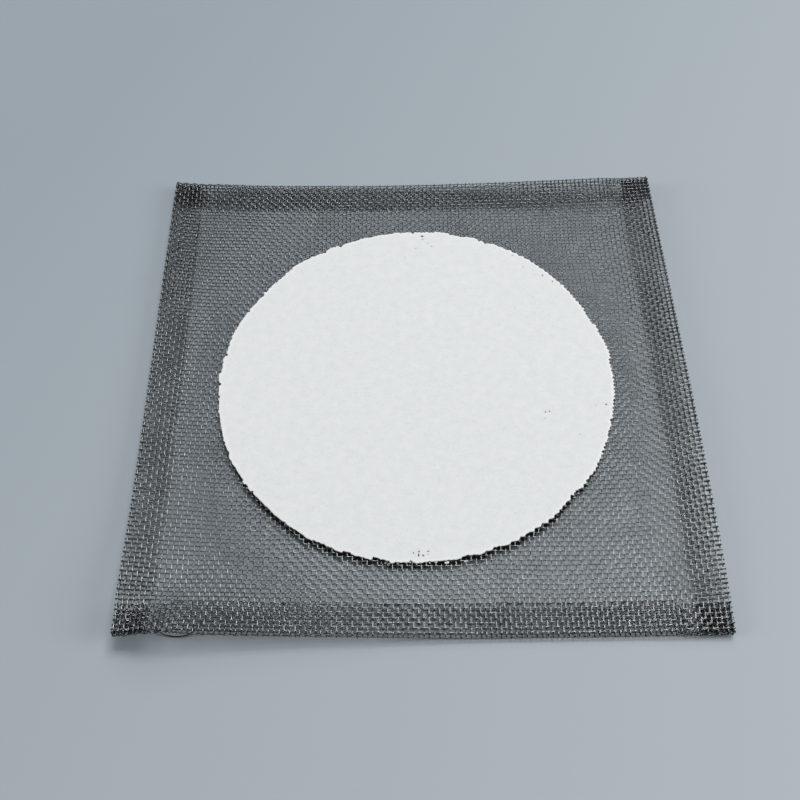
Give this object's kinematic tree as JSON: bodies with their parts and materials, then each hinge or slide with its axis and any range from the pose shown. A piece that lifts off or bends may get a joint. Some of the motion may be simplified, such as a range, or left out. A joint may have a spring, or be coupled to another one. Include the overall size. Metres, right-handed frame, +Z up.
{
  "type": "wire gauze",
  "caption": "Square woven wire gauze with folded hems and a white ceramic centre, laid on a tripod to spread a burner's heat under glassware.",
  "frame": {"origin": "middle of the gauze's outline, on the surface it lies on", "axes": "+X to the right along the front hem, +Y to the back, +Z up out of the ceramic's working face"},
  "size_m": [0.1524, 0.1524, 0.009],
  "materials": {
    "wire": "dull grey iron wire, lightly tarnished, bright where it is worn",
    "ceramic": "matt white, porous, with a crumbling rim"
  },
  "bodies": {
    "root": {"wire_mesh": "wire", "ceramic_centre": "ceramic"}
  },
  "joints": []
}
